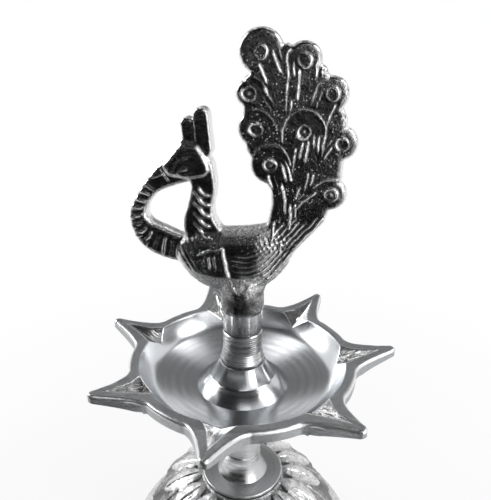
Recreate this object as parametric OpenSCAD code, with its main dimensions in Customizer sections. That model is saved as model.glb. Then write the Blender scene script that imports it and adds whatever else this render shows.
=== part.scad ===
// Standing oil lamp of cast and turned aluminium: a bell-shaped foot, a turned stem, a dish with
// seven wick spouts, a short turned column and a peacock finial. The pieces screw together on studs.
// The origin is the middle of the foot's underside. +Z is up, and the peacock looks along -X.

/* [Foot] */
// Diameter of the foot on the table
foot_d = 96; // [84:1:130]
// Height of the foot's top face above the table
foot_h = 34; // [26:1:46]
// Wall of the hollow foot, and thickness of its top
foot_wall = 4; // [3:0.5:6]
// How far the lip of the foot stands out past the bell
foot_lip_w = 4; // [2:0.5:7]
// Height of the lip's upright edge
foot_lip_h = 2; // [1:0.5:4]

/* [Stem] */
// Diameter of the turned stem
stem_d = 15; // [13:0.5:22]
// Height of the stem between its two washers
stem_h = 39.1; // [30:0.1:80]
// Diameter of the flange that stands on the foot
stem_flange_d = 33.6; // [28:0.2:44]
// Thickness of that flange
stem_flange_t = 1.8; // [1:0.1:4]
// Diameter of the flare where it meets the flange
stem_flare_d = 20.8; // [17:0.2:26]
// Height of the flare above the flange
stem_flare_h = 9; // [5:0.2:9]
// Height of the lower scribed line above the stem's seat
stem_line_z = 12; // [12:0.2:16]
// Distance between the two scribed lines
stem_line_gap = 8.8; // [4:0.2:12]

/* [Bowl] */
// Inner diameter of the rim
rim_d = 80; // [66:1:120]
// Width of the flat rim
rim_w = 4; // [3:0.5:7]
// Thickness of the rim between the spouts
rim_t = 5; // [3:0.5:8]
// Depth of the dish below the rim, on its axis
bowl_depth = 13.8; // [13:0.1:26]
// Height of the steep wall round the dish
wall_h = 6.5; // [4:0.5:10]
// How far that wall leans in from the rim to its foot
wall_lean = 3.5; // [2:0.5:8]
// Thickness of the dish
bowl_wall = 3.5; // [2.5:0.25:5]
// Diameter of the seat under the bowl
bowl_seat_d = 22; // [18:1:28]
// Diameter of the sloping shoulder at the foot of the boss
shoulder_d = 35.8; // [34:0.2:44]
// Height of the shoulder's top above the lowest point of the dish
shoulder_h = 6.3; // [4:0.1:8]
// Diameter of the boss where it rises from the shoulder
boss_base_d = 24.6; // [19:0.2:28]
// Diameter of the boss at its joint, which the foot of the column meets
boss_top_d = 17.6; // [15:0.2:19]
// Depth of that joint below the rim
boss_drop = 0.9; // [0:0.1:3]

/* [Spouts] */
// Number of wick spouts
spouts = 7; // [3:1:9]
// Direction of the first spout
spout_turn = 10; // [0:1:60]
// Length of a spout beyond the rim
spout_len = 16; // [10:0.5:22]
// Width of a spout at the rim
spout_w = 20; // [14:0.5:24]
// Rounding of the tip
tip_r = 2; // [1.2:0.1:3]
// Hollow of a spout's sides
spout_hollow = 0.8; // [0.4:0.1:1.5]
// Rise of the tip above the rim
tip_rise = 2.9; // [0:0.1:6]
// Thickness of the tip
tip_t = 3.6; // [2.5:0.1:6]
// Depth of the spout's underside below the rim, at the rim's outer edge
spout_root_t = 6; // [5:0.1:9]
// Depth of the wick notch at the inner edge of the rim
notch_depth = 2.7; // [2:0.1:4]
// Width of the wick notch at the inner edge of the rim
notch_w = 11.6; // [6:0.2:14]
// Length of the wick notch beyond the inner edge of the rim
notch_len = 11.5; // [7:0.5:16]

/* [Column] */
// Diameter of the column above its flare
column_d = 15; // [13:0.5:20]
// Height of the column between its two washers
column_h = 12.6; // [11:0.1:30]
// Height of the flare at the column's foot
column_flare_h = 6.4; // [3:0.1:8]
// Distance between its turning lines
line_pitch = 1.3; // [0.8:0.1:3]
// Depth of a turning line
line_depth = 0.2; // [0.1:0.05:0.4]

/* [Peacock] */
// Height of the peacock from its joint to the top of the tail
peacock_h = 106.7; // [80:0.1:160]
// Thickness of the tail plate
tail_t = 5; // [3:0.5:8]
// Thickness of the body at the belly
body_t = 13; // [10:0.5:18]
// Diameter of the rough stub under the belly
stub_d = 16; // [14:0.5:20]
// Height of the turned band at the stub's lower end
stub_band_h = 8.5; // [5:0.5:12]
// Height of the raised eyes above the tail plate
eye_h = 0.6; // [0.3:0.1:1]

/* [Threads] */
// Diameter of the studs
stud_d = 8; // [6:0.5:10]
// Pitch of the thread
pitch = 1.25; // [1:0.25:1.5]
// Room round a stud in its tapped hole
thread_gap = 0.05; // [0.02:0.01:0.1]
// Turns of thread that hold the stem on the foot
stem_turns = 10; // [6:1:14]
// Room left between the two studs that meet in the bowl's hole
stud_space = 1.4; // [1:0.1:4]
// Turns of thread that hold the peacock on the column
peacock_turns = 5; // [3:1:5]
// Width of the hexagon nut across its flats
nut_w = 13; // [10:0.5:17]
// Height of the nut
nut_h = 6.5; // [5:0.5:8]

/* [Washers] */
// Thickness of the thin washers under stem, column and peacock
washer_t = 0.5; // [0.3:0.1:1]
// Thickness of the gasket under the bowl
gasket_t = 1; // [0.5:0.1:2]
// Thickness of the washer under the nut
nut_washer_t = 1.6; // [1:0.1:2.5]
// Diameter of the washer under the nut
nut_washer_d = 16; // [14:0.5:20]
// How far a thin washer's edge stays back from the turned faces that it lies between
washer_back = 0.3; // [0.1:0.1:1]
// Room round a stud in a washer
washer_gap = 0.3; // [0.1:0.1:0.6]

/* [Hidden] */
$fn = 64;

// How far a cutter passes beyond the face that it cuts
over = 1;
// Thread that shows below the nut
stud_tail = 2;
// Empty end of a tapped hole, past its stud
hole_end = 1.5;
// Depth to which a stud stays bedded in the stem or in the peacock
bedded = 10;
// Room between the two studs that meet in the column
column_space = 0.5;

// Levels from the table up
stem_z = foot_h + washer_t;
stem_top_z = stem_z + stem_h;
bowl_z = stem_top_z + gasket_t;
bowl_h = bowl_depth + bowl_wall;
rim_z = bowl_z + bowl_h;
boss_top_z = rim_z - boss_drop;
column_z = boss_top_z + washer_t;
column_top_z = column_z + column_h;
peacock_z = column_top_z + washer_t;
nut_washer_z = foot_h - foot_wall - nut_washer_t;
nut_z = nut_washer_z - nut_h;

// Radii and lengths that several pieces share
stud_r = stud_d / 2;
hole_r = stud_r + thread_gap;
rim_r = rim_d / 2;
rim_out_r = rim_r + rim_w;
tip_end_r = rim_out_r + spout_len;
stem_hold = stem_turns * pitch;
bowl_hold = (bowl_h - boss_drop - stud_space) / 2;
column_hold = bowl_hold;
peacock_hold = peacock_turns * pitch;
column_bedded = column_h - peacock_hold - column_space;

// Thread of a stud, as its outer cylinder
module stud(low, high) {
    translate([0, 0, low]) cylinder(r = stud_r, h = high - low);
}

// Tapped hole between two levels
module tapped(low, high) {
    translate([0, 0, low]) cylinder(r = hole_r, h = high - low);
}

// Thin ring under a piece of diameter d, held back from its edge
module thin_washer(d, low, t) {
    translate([0, 0, low]) difference() {
        cylinder(d = d - 2 * washer_back, h = t);
        translate([0, 0, -over]) cylinder(r = stud_r + washer_gap, h = t + 2 * over);
    }
}

// Hollow bell: an arc from the edge of the stem's seat down to the lip
dome_r = foot_d / 2 - foot_lip_w;
seat_r = stem_flange_d / 2;
dome_in = dome_r - seat_r;
dome_arc = (dome_in * dome_in + foot_h * foot_h) / (2 * dome_in);
dome_x = dome_r - dome_arc;
hollow_h = foot_h - foot_wall;
hollow_arc = dome_arc - foot_wall;
hollow_r = dome_x + sqrt(hollow_arc * hollow_arc - hollow_h * hollow_h);

// Half section of a bell from level low up to its flat top
module bell_section(flat_r, arc, low, high) {
    translate([0, low]) square([flat_r, high - low]);
    intersection() {
        translate([dome_x, 0]) circle(r = arc);
        translate([0, low]) square([foot_d, high - low]);
    }
}

module foot() {
    color([0.62, 0.62, 0.64]) difference() {
        rotate_extrude($fn = 128) difference() {
            union() {
                bell_section(seat_r, dome_arc, 0, foot_h);
                polygon([[0, 0], [foot_d / 2, 0], [foot_d / 2, foot_lip_h],
                         [dome_r, foot_lip_h + foot_lip_w], [0, foot_lip_h + foot_lip_w]]);
            }
            bell_section(hollow_r, hollow_arc, -over, hollow_h);
        }
        translate([0, 0, hollow_h - over]) cylinder(r = hole_r, h = foot_wall + 2 * over);
    }
}

module foot_stud() {
    color([0.45, 0.45, 0.47]) stud(nut_z - stud_tail, stem_z + stem_hold);
}

module foot_nut_washer() {
    color([0.55, 0.55, 0.57]) translate([0, 0, nut_washer_z]) difference() {
        cylinder(d = nut_washer_d, h = nut_washer_t);
        translate([0, 0, -over]) cylinder(r = stud_r + washer_gap, h = nut_washer_t + 2 * over);
    }
}

module foot_nut() {
    color([0.5, 0.5, 0.52]) difference() {
        translate([0, 0, nut_z]) cylinder(d = nut_w / cos(30), h = nut_h, $fn = 6);
        tapped(nut_z - over, nut_z + nut_h + over);
    }
}

module stem_washer() {
    color([0.12, 0.12, 0.12]) thin_washer(stem_flange_d, foot_h, washer_t);
}

// Turned post: flange, flare, two scribed lines and a tapped hole in each end
module stem() {
    flare_z = stem_z + stem_flange_t;
    color([0.72, 0.72, 0.74]) difference() {
        union() {
            translate([0, 0, stem_z]) cylinder(d = stem_flange_d, h = stem_flange_t);
            translate([0, 0, flare_z]) cylinder(d1 = stem_flare_d, d2 = stem_d, h = stem_flare_h);
            translate([0, 0, stem_z]) cylinder(d = stem_d, h = stem_h);
        }
        for (i = [0, 1])
            translate([0, 0, stem_z + stem_line_z + i * stem_line_gap]) scribed_line(stem_d, 2 * line_depth);
        tapped(stem_z - over, stem_z + stem_hold + hole_end);
        tapped(stem_top_z - bedded, stem_top_z + over);
    }
}

// V-shaped line turned round a post of diameter d
module scribed_line(d, depth) {
    rotate_extrude() polygon([[d / 2 - depth, 0], [d / 2 + depth, -2 * depth], [d / 2 + depth, 2 * depth]]);
}

module stem_stud() {
    color([0.45, 0.45, 0.47]) stud(stem_top_z - bedded + hole_end, bowl_z + bowl_hold);
}

module bowl_gasket() {
    color([0.12, 0.12, 0.12]) thin_washer(stem_d, stem_top_z, gasket_t);
}

// The floor of the dish is a ball's cap that passes through the foot of its wall
floor_r = rim_r - wall_lean;
floor_depth = bowl_depth - wall_h;
ball_r = (floor_r * floor_r + floor_depth * floor_depth) / (2 * floor_depth);
ball_z = rim_z - bowl_depth + ball_r;
shoulder_r = shoulder_d / 2;
shoulder_z = rim_z - bowl_depth + shoulder_h;
// Level of the floor at the shoulder's edge
shoulder_low = ball_z - sqrt(ball_r * ball_r - shoulder_r * shoulder_r);

// A spout's side is an arc from the rim to the rounding of the tip
tip_x = tip_end_r - tip_r;
side_from = [rim_out_r, spout_w / 2];
side_to = [tip_x + tip_r / 2, tip_r * sin(60)];
side_chord = norm(side_to - side_from);
side_arc = side_chord * side_chord / (8 * spout_hollow) + spout_hollow / 2;
side_out = [side_from[1] - side_to[1], side_to[0] - side_from[0]] / side_chord;
side_centre = (side_from + side_to) / 2 + side_out * (side_arc - spout_hollow);

// Plan of one spout, from inside the rim to its tip
module spout_outline() {
    translate([tip_x, 0]) circle(r = tip_r);
    difference() {
        polygon([[rim_r - bowl_wall, -spout_w / 2], [rim_out_r, -spout_w / 2], [side_to[0], -side_to[1]],
                 side_to, [rim_out_r, spout_w / 2], [rim_r - bowl_wall, spout_w / 2]]);
        for (s = [-1, 1])
            translate([side_centre[0], s * side_centre[1]]) circle(r = side_arc, $fn = 256);
    }
}

// Band between the sloping top and underside of the spouts, swept round the axis
module spout_band() {
    under = (spout_root_t - tip_t + tip_rise) / spout_len;
    inner_r = rim_r - bowl_wall;
    translate([0, 0, rim_z]) rotate_extrude($fn = 128) polygon([
        [inner_r, 0], [rim_out_r, 0], [tip_end_r + over, tip_rise * (1 + over / spout_len)],
        [tip_end_r + over, tip_rise - tip_t + over * under],
        [inner_r, -spout_root_t - (rim_out_r - inner_r) * under]]);
}

// Wick notch: two planes that meet in a valley, which rises from the dish to the spout's top
valley_rise = atan2(notch_depth + tip_rise * (notch_len - rim_w) / spout_len, notch_len);
notch_up = notch_depth * cos(valley_rise);
notch_slope = notch_w / 2 / notch_up;

module wick_notch() {
    tall = 3 * notch_depth;
    back = bowl_wall + rim_w;
    translate([rim_r, 0, rim_z - notch_depth]) rotate([0, -valley_rise, 0])
        translate([-back, 0, 0]) rotate([90, 0, 90]) linear_extrude(back + 2 * notch_len)
            polygon([[0, 0], [tall * notch_slope, tall], [-tall * notch_slope, tall]]);
}

module at_spouts() {
    for (i = [0 : spouts - 1]) rotate(spout_turn + i * 360 / spouts) children();
}

// Room in the dish up to a level or, grown by the thickness of its wall, its outside
module dish(grow, top) {
    lean = wall_lean / wall_h;
    low = bowl_z - over;
    edge_r = rim_r + grow / cos(atan(lean));
    intersection() {
        translate([0, 0, ball_z]) sphere(r = ball_r + grow, $fn = 128);
        translate([0, 0, low]) cylinder(r1 = edge_r - (rim_z - low) * lean,
                                        r2 = edge_r + (top - rim_z) * lean, h = top - low, $fn = 128);
    }
}

// Dish with its rim, seat and spouts, turned out, with the boss in the middle and a hole through it
module bowl() {
    color([0.75, 0.75, 0.77]) difference() {
        union() {
            difference() {
                union() {
                    bowl_shell();
                    intersection() {
                        spout_band();
                        translate([0, 0, bowl_z]) linear_extrude(bowl_h + 2 * tip_rise + over)
                            at_spouts() spout_outline();
                    }
                }
                dish(0, rim_z + over);
                at_spouts() wick_notch();
            }
            boss();
        }
        tapped(bowl_z - over, boss_top_z + over);
    }
}

// Wall of the dish, its flat rim and the seat under it
module bowl_shell() {
    dish(bowl_wall, rim_z);
    translate([0, 0, rim_z - rim_t]) cylinder(r = rim_out_r, h = rim_t, $fn = 128);
    translate([0, 0, bowl_z]) cylinder(d = bowl_seat_d, h = bowl_wall);
}

// Two cones bedded in the wall of the dish: a wide shoulder, and the boss that rises to the column
module boss() {
    intersection() {
        rotate_extrude($fn = 128) polygon([
            [0, bowl_z], [shoulder_r, bowl_z], [shoulder_r, shoulder_low], [boss_base_d / 2, shoulder_z],
            [boss_top_d / 2, boss_top_z], [0, boss_top_z]]);
        translate([0, 0, ball_z]) sphere(r = ball_r + bowl_wall / 2, $fn = 128);
    }
}

module column_washer() {
    color([0.12, 0.12, 0.12]) thin_washer(boss_top_d, boss_top_z, washer_t);
}

// Turned spacer with a flared foot, fine lines above it and a tapped hole through it
module column() {
    straight = column_h - column_flare_h;
    lines = floor(straight / line_pitch) - 1;
    start = column_flare_h + (straight - (lines - 1) * line_pitch) / 2;
    color([0.66, 0.66, 0.68]) difference() {
        union() {
            translate([0, 0, column_z]) cylinder(d = column_d, h = column_h);
            translate([0, 0, column_z]) cylinder(d1 = boss_top_d, d2 = column_d, h = column_flare_h);
        }
        for (i = [0 : 1 : lines - 1])
            translate([0, 0, column_z + start + i * line_pitch]) scribed_line(column_d, line_depth);
        tapped(column_z - over, column_top_z + over);
    }
}

module column_stud() {
    color([0.45, 0.45, 0.47]) stud(boss_top_z - column_hold, column_z + column_bedded);
}

module finial_washer() {
    color([0.12, 0.12, 0.12]) thin_washer(column_d, column_top_z, washer_t);
}

// The peacock is drawn side on at its usual height, from its joint up, and scaled to peacock_h.
// Points are [x, height, half width] along a limb, or [x, height, radius] of a rounded lobe.
drawn_h = 106.7;
figure = peacock_h / drawn_h;
neck = [[-9, 31, 7], [-14.5, 40.5, 6.2], [-14.6, 47.5, 4.6], [-13.2, 55.5, 4.4], [-14.5, 62, 5]];
beak = [[-19, 62.5, 5.5], [-25.5, 59.5, 4.6], [-31, 55.5, 3.2], [-35, 50.5, 2.7], [-37.3, 44.5, 3.2],
        [-35.3, 38.8, 4.4], [-30.5, 35, 5.6], [-22, 32, 5.2], [-14, 30, 5]];
body = [[-18, 32.5, 7.5], [-8, 28.5, 12], [4, 30, 11.5], [14, 38, 6]];
head = [[-15.5, 63.5, 6.8], [-20.5, 62.5, 6]];
crest = [[-13.6, 79.6, 2.6], [-18.2, 76.5, 2.3]];
crest_root = [[-20.4, 76.5], [-16.4, 77.5], [-11, 79.6], [-10.4, 66], [-20, 66]];
eyes = [[9.3, 63.8, 6.6], [4.5, 75.5, 6], [2.2, 86.7, 4.4], [6, 99.5, 7.2], [19.5, 97, 5.6],
        [28.5, 87, 5.5], [32.3, 71.5, 5.6], [29.8, 54.5, 5.6]];
inner_eyes = [[20, 75]];
// Edge of the tail at its root, and the notches between its lobes
tail_edge = [[28.5, 44.5], [9.5, 22], [2, 30], [8, 38], [10, 50], [9.8, 54.7], [1.3, 68.5], [0.1, 79],
             [0.7, 91.5], [14, 102], [26.4, 95], [34, 79.5], [33.4, 60]];
// Radius of a raised eye and width of its ring
eye_r = 2.3;
eye_ring = 0.8;
// Thickness of the crest as a share of the tail's, and of limbs and head as a share of their width
crest_share = 0.9;
limb_depth = 0.7;
head_depth = 0.62;
// Sides of a limb's section, and steps of its curve from one point to the next
limb_sides = 16;
limb_steps = 3;

// Place of a point without its half width or radius
function drawn(p) = [p[0], p[1]];

// Smooth curve through the points of a limb, in limb_steps steps from each to the next
function between(a, b, c, d, t) =
    (2 * b + (c - a) * t + (2 * a - 5 * b + 4 * c - d) * t * t + (3 * b - a - 3 * c + d) * t * t * t) / 2;
function limb_curve(pts) = let (last = len(pts) - 1) concat(
    [for (i = [0 : last - 1], s = [0 : limb_steps - 1])
        between(pts[max(i - 1, 0)], pts[i], pts[i + 1], pts[min(i + 2, last)], s / limb_steps)],
    [pts[last]]);

// Tapering limb of oval section along a curve
module limb(pts) {
    path = limb_curve(pts);
    n = len(path);
    rings = [for (i = [0 : n - 1])
        let (p = path[i],
             d = drawn(path[min(i + 1, n - 1)]) - drawn(path[max(i - 1, 0)]),
             side = [-d[1], d[0]] / norm(d))
        for (s = [0 : limb_sides - 1])
            let (a = s * 360 / limb_sides)
            [p[0] + side[0] * p[2] * cos(a), -limb_depth * p[2] * sin(a), p[1] + side[1] * p[2] * cos(a)]];
    around = [for (i = [0 : n - 2], s = [0 : limb_sides - 1])
        let (t = (s + 1) % limb_sides, low = i * limb_sides, high = low + limb_sides)
        each [[low + s, high + s, high + t], [low + s, high + t, low + t]]];
    first = [for (s = [0 : limb_sides - 1]) s];
    last = [for (s = [limb_sides - 1 : -1 : 0]) (n - 1) * limb_sides + s];
    polyhedron(rings, concat(around, [first], [last]));
}

// Rounded body from balls that are flattened sideways
module rounded(balls, depth) {
    hull() for (b = balls)
        translate([b[0], 0, b[1]]) scale([1, depth, 1]) sphere(r = b[2], $fn = 32);
}

// Flat plate standing on the peacock's plane
module plate(t) {
    rotate([90, 0, 0]) linear_extrude(t, center = true) children();
}

// Fan of feathers with rounded ends and raised eyes
module tail() {
    plate(tail_t / figure) {
        polygon(tail_edge);
        for (e = eyes) translate(drawn(e)) circle(r = e[2]);
    }
    plate((tail_t + 2 * eye_h) / figure) for (e = concat(eyes, inner_eyes)) translate(drawn(e)) difference() {
        circle(r = eye_r);
        circle(r = eye_r - eye_ring);
    }
}

// Two-lobed crest on the head
module crest() {
    plate(tail_t * crest_share / figure) {
        polygon(crest_root);
        for (c = crest) translate(drawn(c)) circle(r = c[2]);
    }
}

// One casting: body, neck and beak in a loop, head, crest and tail on a stub with a tapped hole
module peacock() {
    belly = body[1];
    belly_low = (belly[1] - belly[2]) * figure;
    color([0.2, 0.2, 0.21]) translate([0, 0, peacock_z]) difference() {
        union() {
            scale(figure) {
                rounded(body, body_t / (2 * belly[2] * figure));
                rounded(head, head_depth);
                limb(neck);
                limb(beak);
                tail();
                crest();
            }
            cylinder(d = column_d, h = stub_band_h);
            translate([0, 0, stub_band_h]) cylinder(d = stub_d, h = belly_low - stub_band_h);
            translate([0, 0, belly_low]) cylinder(d1 = stub_d, d2 = tail_t, h = belly[2] * figure);
        }
        tapped(-over, bedded + hole_end);
    }
}

module finial_stud() {
    color([0.45, 0.45, 0.47]) stud(column_top_z - peacock_hold, peacock_z + bedded);
}

foot();
foot_stud();
foot_nut_washer();
foot_nut();
stem_washer();
stem();
stem_stud();
bowl_gasket();
bowl();
column_washer();
column();
column_stud();
finial_washer();
peacock();
finial_stud();
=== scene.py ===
import math

import bmesh
import bpy
import numpy as np
from mathutils import Matrix, Vector, noise


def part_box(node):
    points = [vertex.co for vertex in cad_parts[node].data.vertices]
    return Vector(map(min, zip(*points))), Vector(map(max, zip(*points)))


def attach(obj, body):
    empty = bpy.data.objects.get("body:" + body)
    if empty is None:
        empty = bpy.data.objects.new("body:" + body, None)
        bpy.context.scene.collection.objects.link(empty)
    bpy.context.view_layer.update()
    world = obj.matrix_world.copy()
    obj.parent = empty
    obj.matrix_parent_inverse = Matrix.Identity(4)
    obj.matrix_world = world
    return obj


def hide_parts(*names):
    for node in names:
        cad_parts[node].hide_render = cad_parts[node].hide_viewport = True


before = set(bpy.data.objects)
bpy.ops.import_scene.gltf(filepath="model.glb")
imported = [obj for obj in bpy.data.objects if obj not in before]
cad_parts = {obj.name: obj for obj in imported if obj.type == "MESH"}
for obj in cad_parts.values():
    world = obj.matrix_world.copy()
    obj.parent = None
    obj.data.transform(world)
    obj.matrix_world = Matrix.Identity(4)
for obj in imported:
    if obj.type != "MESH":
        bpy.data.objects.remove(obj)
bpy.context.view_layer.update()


# Foot: a hollow bell of cast aluminium with two rows of lotus petals in relief and a plain lip.
# It is sand cast and tumbled bright, stands on its lip, and is drilled at the top for a stud.
mm = 0.001


def levels(node):
    """Lowest and highest level of a node, in mm."""
    low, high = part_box(node)
    return low.z / mm, high.z / mm


def radius(node):
    """Radius of a round node, in mm."""
    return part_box(node)[1].x / mm


def arc(centre, r, start, end, steps):
    """Points of an arc in a half section, with its angles in degrees."""
    turns = np.radians(np.linspace(start, end, steps + 1))
    return [(centre[0] + r * math.cos(a), centre[1] + r * math.sin(a)) for a in turns]


def turned(section, steps, closed=True):
    """Spins a half section of (radius, level) points, in mm, once round the lamp's axis."""
    bm = bmesh.new()
    verts = [bm.verts.new((r, 0, z)) for r, z in section]
    for a, b in zip(verts, verts[1:] + verts[:1] * closed):
        bm.edges.new((a, b))
    bmesh.ops.spin(bm, geom=bm.verts[:] + bm.edges[:], cent=(0, 0, 0), axis=(0, 0, 1),
                   angle=math.tau, steps=steps, use_merge=True, use_duplicate=False)
    bmesh.ops.remove_doubles(bm, verts=bm.verts[:], dist=1e-4)
    bmesh.ops.recalc_face_normals(bm, faces=bm.faces[:])
    return bm


def places(mesh):
    """Every vertex's place, as three arrays."""
    co = np.zeros(len(mesh.vertices) * 3)
    mesh.vertices.foreach_get("co", co)
    return co.reshape(-1, 3).T


def move(mesh, x, y, z):
    """Puts every vertex of a mesh at a new place."""
    mesh.vertices.foreach_set("co", np.stack([x, y, z], 1).ravel())
    mesh.update()


def lumps(x, y, z, size):
    """Uneven casting surface: noise from -1 to 1 with lumps of about the given size."""
    return np.array([noise.noise(Vector(p) / size) for p in zip(x, y, z)])


def ease(low, high, value):
    """0 below low, 1 above high, and a smooth step between them."""
    t = np.clip((value - low) / (high - low), 0, 1)
    return t * t * (3 - 2 * t)


def mark(mesh, name, values):
    """Stores a value at each vertex, for the material to read."""
    mesh.attributes.new(name, "FLOAT", "POINT").data.foreach_set("value", values.astype(np.float32))


def drafted(bm, name):
    """Mesh of a finished bmesh, still in mm."""
    mesh = bpy.data.meshes.new(name)
    bm.to_mesh(mesh)
    bm.free()
    return mesh


def placed(mesh, finish):
    """Object of a mesh in metres, under the mesh's name and with its material."""
    mesh.materials.append(finish)
    obj = bpy.data.objects.new(mesh.name, mesh)
    bpy.context.scene.collection.objects.link(obj)
    return obj


def piece(mesh, body, finish, slot, *nodes, crease=35):
    """Makes a mesh in mm the lamp's piece in metres, which rides on a body and stands for nodes."""
    mesh.transform(Matrix.Scale(mm, 4))
    mesh.shade_smooth()
    mesh.set_sharp_from_angle(angle=math.radians(crease))
    obj = placed(mesh, finish)
    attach(obj, body)
    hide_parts(*nodes)


def feed(tree, socket, value):
    """Links a socket to another node's output, or sets it to a plain value."""
    if isinstance(value, bpy.types.NodeSocket):
        tree.links.new(value, socket)
    else:
        socket.default_value = value


def add(tree, kind, settings=None, **inputs):
    """Adds a shader node, with its sockets set to values or linked."""
    made = tree.nodes.new(kind)
    for key, value in (settings or {}).items():
        setattr(made, key, value)
    for key, value in inputs.items():
        feed(tree, made.inputs[key.replace("_", " ")], value)
    return made


def sum_of(tree, operation, *terms):
    """Output of a Math node."""
    made = add(tree, "ShaderNodeMath", {"operation": operation})
    for socket, term in zip(made.inputs, terms):
        feed(tree, socket, term)
    return made.outputs[0]


def times(tree, value, factor):
    """Product of two values."""
    return sum_of(tree, "MULTIPLY", value, factor)


def ranged(tree, value, low, high, to_low=0.0, to_high=1.0):
    """A value taken from one range to another, with soft ends."""
    made = add(tree, "ShaderNodeMapRange", {"interpolation_type": "SMOOTHSTEP"}, Value=value,
               From_Min=low, From_Max=high, To_Min=to_low, To_Max=to_high)
    return made.outputs["Result"]


def blended(tree, share, first, second):
    """Colour between two colours."""
    made = add(tree, "ShaderNodeMix", {"data_type": "RGBA"})
    for index, term in ((0, share), (6, first), (7, second)):
        feed(tree, made.inputs[index], term)
    return made.outputs[2]


def grey(level, blue=0.0):
    """Grey colour, a little blue if asked."""
    return (level * (1 - blue), level, level * (1 + blue), 1)


def stored(tree, name):
    """Value that the mesh holds at each vertex."""
    return add(tree, "ShaderNodeAttribute", {"attribute_name": name}).outputs["Fac"]


def material(name):
    """New material: its node tree, the socket of its surface and its Object coordinates."""
    made = bpy.data.materials.new(name)
    made.use_nodes = True
    tree = made.node_tree
    tree.nodes.clear()
    surface = tree.nodes.new("ShaderNodeOutputMaterial").inputs["Surface"]
    return made, tree, surface, tree.nodes.new("ShaderNodeTexCoord").outputs["Object"]


def glossed(tree, surface, colour, rough, normal, metallic=1):
    """Puts the shader of a metal, or of another solid, on a surface, and gives its sockets."""
    shader = add(tree, "ShaderNodeBsdfPrincipled", Base_Color=colour, Roughness=rough, Normal=normal,
                 Metallic=metallic)
    tree.links.new(shader.outputs[0], surface)
    return shader.inputs


def bumped(tree, height, distance, strength=1.0):
    """Normal of a surface with a height, in mm, on it."""
    return add(tree, "ShaderNodeBump", Height=height, Distance=distance * mm,
               Strength=strength).outputs["Normal"]


def group(name, inputs, outputs):
    """New shader node group with float sockets, and a Vector input."""
    made = bpy.data.node_groups.new(name, "ShaderNodeTree")
    made.interface.new_socket("Vector", in_out="INPUT", socket_type="NodeSocketVector")
    for key in inputs:
        made.interface.new_socket(key, in_out="INPUT", socket_type="NodeSocketFloat")
    for key in outputs:
        made.interface.new_socket(key, in_out="OUTPUT", socket_type="NodeSocketFloat")
    return made, made.nodes.new("NodeGroupInput").outputs, made.nodes.new("NodeGroupOutput").inputs


def cast_skin():
    """Skin of a sand casting: fine grain, sparse pits and broad stains."""
    tree, given, result = group("cast_skin", ["Grain"], ["Grain", "Pits", "Stain"])
    where, fine = given["Vector"], given["Grain"]
    grain = add(tree, "ShaderNodeTexNoise", Vector=where, Scale=fine, Detail=4.0, Roughness=0.6)
    cells = add(tree, "ShaderNodeTexVoronoi", Vector=where, Scale=times(tree, fine, 0.6))
    stain = add(tree, "ShaderNodeTexNoise", Vector=where, Scale=times(tree, fine, 0.12), Detail=3.0)
    tree.links.new(grain.outputs[0], result["Grain"])
    tree.links.new(ranged(tree, cells.outputs["Distance"], 0.05, 0.3, 1.0, 0.0), result["Pits"])
    tree.links.new(ranged(tree, stain.outputs[0], 0.35, 0.65), result["Stain"])
    return tree


def skin(tree, where, grain):
    """Places the cast skin in a material."""
    made = bpy.data.node_groups.get("cast_skin") or cast_skin()
    return add(tree, "ShaderNodeGroup", {"node_tree": made}, Vector=where, Grain=grain).outputs


def cast_aluminium():
    """Tumbled casting: bright on what stands proud, grey and grainy in the hollows."""
    made, tree, surface, where = material("cast_aluminium")
    look = skin(tree, where, 900)
    worn = sum_of(tree, "ADD", stored(tree, "proud"), times(tree, look["Grain"], 0.5))
    worn = ranged(tree, worn, 0.45, 0.95)
    colour = blended(tree, worn, grey(0.2), grey(0.8))
    colour = blended(tree, times(tree, look["Pits"], 0.6), colour, grey(0.12))
    rough = ranged(tree, worn, 0, 1, 0.45, 0.22)
    rough = sum_of(tree, "ADD", rough, times(tree, look["Stain"], 0.1))
    glossed(tree, surface, colour, rough, bumped(tree, look["Grain"], 0.12))
    return made


foot_h = levels("foot")[1]
foot_r = radius("foot")
seat_r = radius("stem")
stud_r = radius("foot_stud")
hole_r = stud_r + 0.05
foot_wall = foot_h - levels("foot_nut_washer")[1]
lip_w = 4
lip_h = 2
lip_round = 2.2
lip_bevel = 0.6
bell_r = foot_r - lip_w
bell_in = bell_r - seat_r
bell_arc = (bell_in ** 2 + foot_h ** 2) / (2 * bell_in)
bell_x = bell_r - bell_arc
hollow_arc = bell_arc - foot_wall
hollow_h = foot_h - foot_wall
petals = 16
petal_h = 1.5
upper_petals = (0.3, 20)
lower_petals = (5, 34)


def rise_at(r, level):
    """Angle at which an arc round the bell's centre reaches a level."""
    return math.degrees(math.asin(level / r))


foot_section = [(hole_r, foot_h), (seat_r - 2, foot_h)]
foot_section += arc((bell_x, 0), bell_arc, rise_at(bell_arc, foot_h), rise_at(bell_arc, lip_h + lip_w), 90)
foot_section += arc((foot_r - lip_round, lip_h + 0.4), lip_round, 80, 0, 8)
foot_section += [(foot_r, lip_bevel), (foot_r - lip_bevel, 0), (foot_r - lip_w, 0)]
foot_section += arc((bell_x, 0), hollow_arc, 0, rise_at(hollow_arc, hollow_h), 24)
foot_section += [(hole_r, hollow_h)]
foot_mesh = drafted(turned(foot_section, 320), "foot_casting")


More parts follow.
